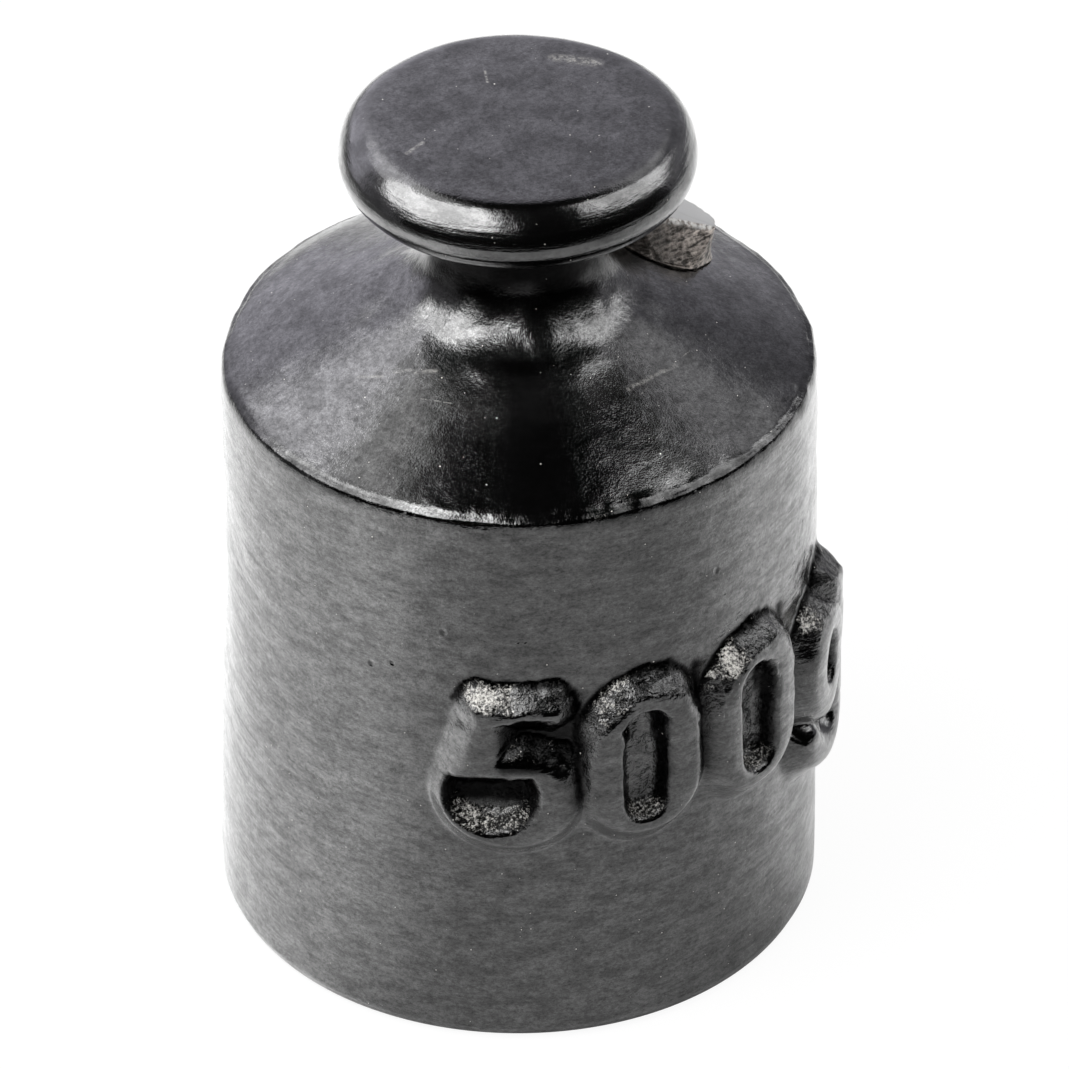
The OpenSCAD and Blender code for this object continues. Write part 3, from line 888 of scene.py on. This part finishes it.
outward = -seal_x * math.sin(shear_turn) - seal_y * math.cos(shear_turn)
sideways = seal_x * math.cos(shear_turn) - seal_y * math.sin(shear_turn)
shear_face = seal_proud - (outward - shear_reach) / math.tan(shear_angle)
torn_place = np.column_stack([sideways / 0.5, seal_z / 1.3, outward * 0])
torn = 0.16 * lumps(torn_place, 1.0, 21) + 0.12 * lumps(torn_place, 0.45, 22)
torn += 0.2 * lumps(np.column_stack([sideways, seal_z, seal_z * 0]), 1.3, 23)
near_crease = (seal_x - crease_at[0]) * math.sin(crease_turn)
near_crease -= (seal_y - crease_at[1]) * math.cos(crease_turn)
top_face = seal_proud - 0.06 * np.exp(-(near_crease / 0.12) ** 2) - 0.03 * np.abs(sideways + 1)
top_face += 0.05 * lumps(np.column_stack([seal_x, seal_y, seal_x * 0]), 1.6, 24)
cut = soft_min(top_face, shear_face + torn, 0.08)
sheared = (seal_z > 0.15) * ramp(seal_z - (shear_face + torn), -0.15, 0.05)
seal_z = np.where(seal_z > 0.15, np.maximum(np.minimum(seal_z, cut), 0.12), seal_z)
frayed_place = np.column_stack([seal_x, seal_y, seal_z * 0.6])
frayed = 0.10 * lumps(frayed_place, 0.9, 25) + 0.07 * lumps(frayed_place, 0.4, 26)
frayed = 1 + (seal_z > 0.03) * frayed * ramp(np.hypot(seal_x, seal_y), 3.2, 3.9) / 4.2
low_down = ramp(seal_z, 2.4, 0.2) * (seal_z > 0.0)
seal_x = seal_x + lip_slip * ramp(seal_x, 1.0, 4.0) * low_down
seal_z = seal_z - seal_y ** 2 / (2 * shoulder_bend) * ramp(seal_z, 1.4, 0.3) * (seal_z > 0.0)
seal_points = [at_mouth @ (Vector(place) * MM) for place in zip(seal_x * frayed, seal_y * frayed, seal_z)]
seal_faces = []
last_point = len(seal_points) - 1
for step in range(seal_columns):
    following = (step + 1) % seal_columns
    seal_faces.append((0, 1 + following, 1 + step))
    for row in range(len(seal_rows) - 3):
        low, high = 1 + row * seal_columns, 1 + (row + 1) * seal_columns
        seal_faces.append((low + step, low + following, high + following, high + step))
    low = 1 + (len(seal_rows) - 3) * seal_columns
    seal_faces.append((low + step, low + following, last_point))
seal = object_from("nipped_seal", seal_points, seal_faces)
seal.data.polygons.foreach_set("use_smooth", [True] * len(seal_faces))
side_band = ramp(np.hypot(seal_x, seal_y), seal_waist - 0.1, seal_waist + 0.02)
sheared = np.clip(np.maximum(sheared, side_band), 0, 1)
# Painted highlight: a band along the top edge of the sheared side.
toothed = sheared * ramp(seal_z, seal_proud - 0.5, seal_proud - 0.25)
# Painted shade: the sheared side is painted darker towards its left, next to the neck, where the knob
# shades it. This share runs from 0.2 there to 1 on its right.
worn = 0.2 + 0.8 * ramp(seal_x, -2.5, 2.0)
set_values(seal, sheared=sheared, toothed=toothed, worn=worn)

lead_grey = (0.54, 0.54, 0.54, 1)
torn_dark = (0.03, 0.025, 0.02, 1)
torn_brown = (0.72, 0.64, 0.58, 1)
unworn_brown = (0.02, 0.016, 0.013, 1)
tooth_grey = (0.85, 0.84, 0.82, 1)
lead, tree = new_material("nipped_lead")
place = in_millimetres(tree)
torn_side = point_value(tree, "sheared")
fine = noise_in(tree, place, 2.6, 5.0, 0.65)
scored = noise_in(tree, vector_in(tree, "MULTIPLY", place, (0.7, 1.6, 5.0)), 1.2, 3.0)
uneven = math_in(tree, "ADD", fine, scored)
brown = add(tree, "ShaderNodeValToRGB", {0: math_in(tree, "MULTIPLY", uneven, 0.5)})
brown.color_ramp.elements[0].position = 0.42
brown.color_ramp.elements[0].color = torn_dark
brown.color_ramp.elements[1].position = 0.62
brown.color_ramp.elements[1].color = torn_brown
colour = colour_in(tree, torn_side, lead_grey, brown.outputs[0])
# Painted shade: the torn side turns near black towards its left.
unworn = math_in(tree, "MULTIPLY", torn_side, math_in(tree, "SUBTRACT", 1.0, point_value(tree, "worn")))
colour = colour_in(tree, unworn, colour, unworn_brown)
# Painted highlight in pale specks along the top edge of the torn side.
teeth = noise_in(tree, vector_in(tree, "MULTIPLY", place, (3.5, 3.5, 0.5)), 1.0)
teeth = math_in(tree, "MULTIPLY", range_in(tree, teeth, 0.42, 0.58), point_value(tree, "toothed"))
colour = colour_in(tree, teeth, colour, tooth_grey)
depth = math_in(tree, "ADD", math_in(tree, "MULTIPLY", torn_side, 0.12), 0.012)
bump = add(tree, "ShaderNodeBump", {"Height": math_in(tree, "MULTIPLY", uneven, depth), "Distance": 0.001})
shader = add(tree, "ShaderNodeBsdfPrincipled", {
    "Base Color": colour, "Metallic": 0.3, "Normal": bump.outputs[0],
    "Roughness": math_in(tree, "SUBTRACT", 0.48, math_in(tree, "MULTIPLY", torn_side, 0.14))})
add(tree, "ShaderNodeOutputMaterial", {"Surface": shader.outputs[0]})
seal.data.materials.append(lead)
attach(seal, "root")
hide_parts("seal_plug")

# The shot: loose lead pellets in the bore, dull and mottled from lying there.
shot_lead, tree = new_material("shot_lead")
mottled = noise_in(tree, add(tree, "ShaderNodeTexCoord").outputs["Object"], 900.0, 4.0)
tone = add(tree, "ShaderNodeValToRGB", {0: mottled})
tone.color_ramp.elements[0].color = (0.09, 0.095, 0.1, 1)
tone.color_ramp.elements[1].color = (0.36, 0.37, 0.4, 1)
bump = add(tree, "ShaderNodeBump", {"Height": mottled, "Distance": 0.00006})
shader = add(tree, "ShaderNodeBsdfPrincipled", {
    "Base Color": tone.outputs[0], "Metallic": 0.9, "Roughness": 0.5, "Normal": bump.outputs[0]})
add(tree, "ShaderNodeOutputMaterial", {"Surface": shader.outputs[0]})
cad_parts["adjusting_shot"].data.materials[0] = shot_lead

# The disc: stamped brass, faced on a lathe, with a hole to lift it out by.
brass, tree = new_material("stamped_brass")
tarnish = noise_in(tree, add(tree, "ShaderNodeTexCoord").outputs["Object"], 700.0, 5.0)
tone = add(tree, "ShaderNodeValToRGB", {0: tarnish})
tone.color_ramp.elements[0].position = 0.35
tone.color_ramp.elements[0].color = (0.3, 0.17, 0.06, 1)
tone.color_ramp.elements[1].position = 0.6
tone.color_ramp.elements[1].color = (0.72, 0.5, 0.2, 1)
shader = add(tree, "ShaderNodeBsdfPrincipled", {
    "Base Color": tone.outputs[0], "Metallic": 1.0,
    "Roughness": math_in(tree, "ADD", math_in(tree, "MULTIPLY", tarnish, 0.3), 0.18)})
add(tree, "ShaderNodeOutputMaterial", {"Surface": shader.outputs[0]})
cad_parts["closing_disc"].data.materials[0] = brass
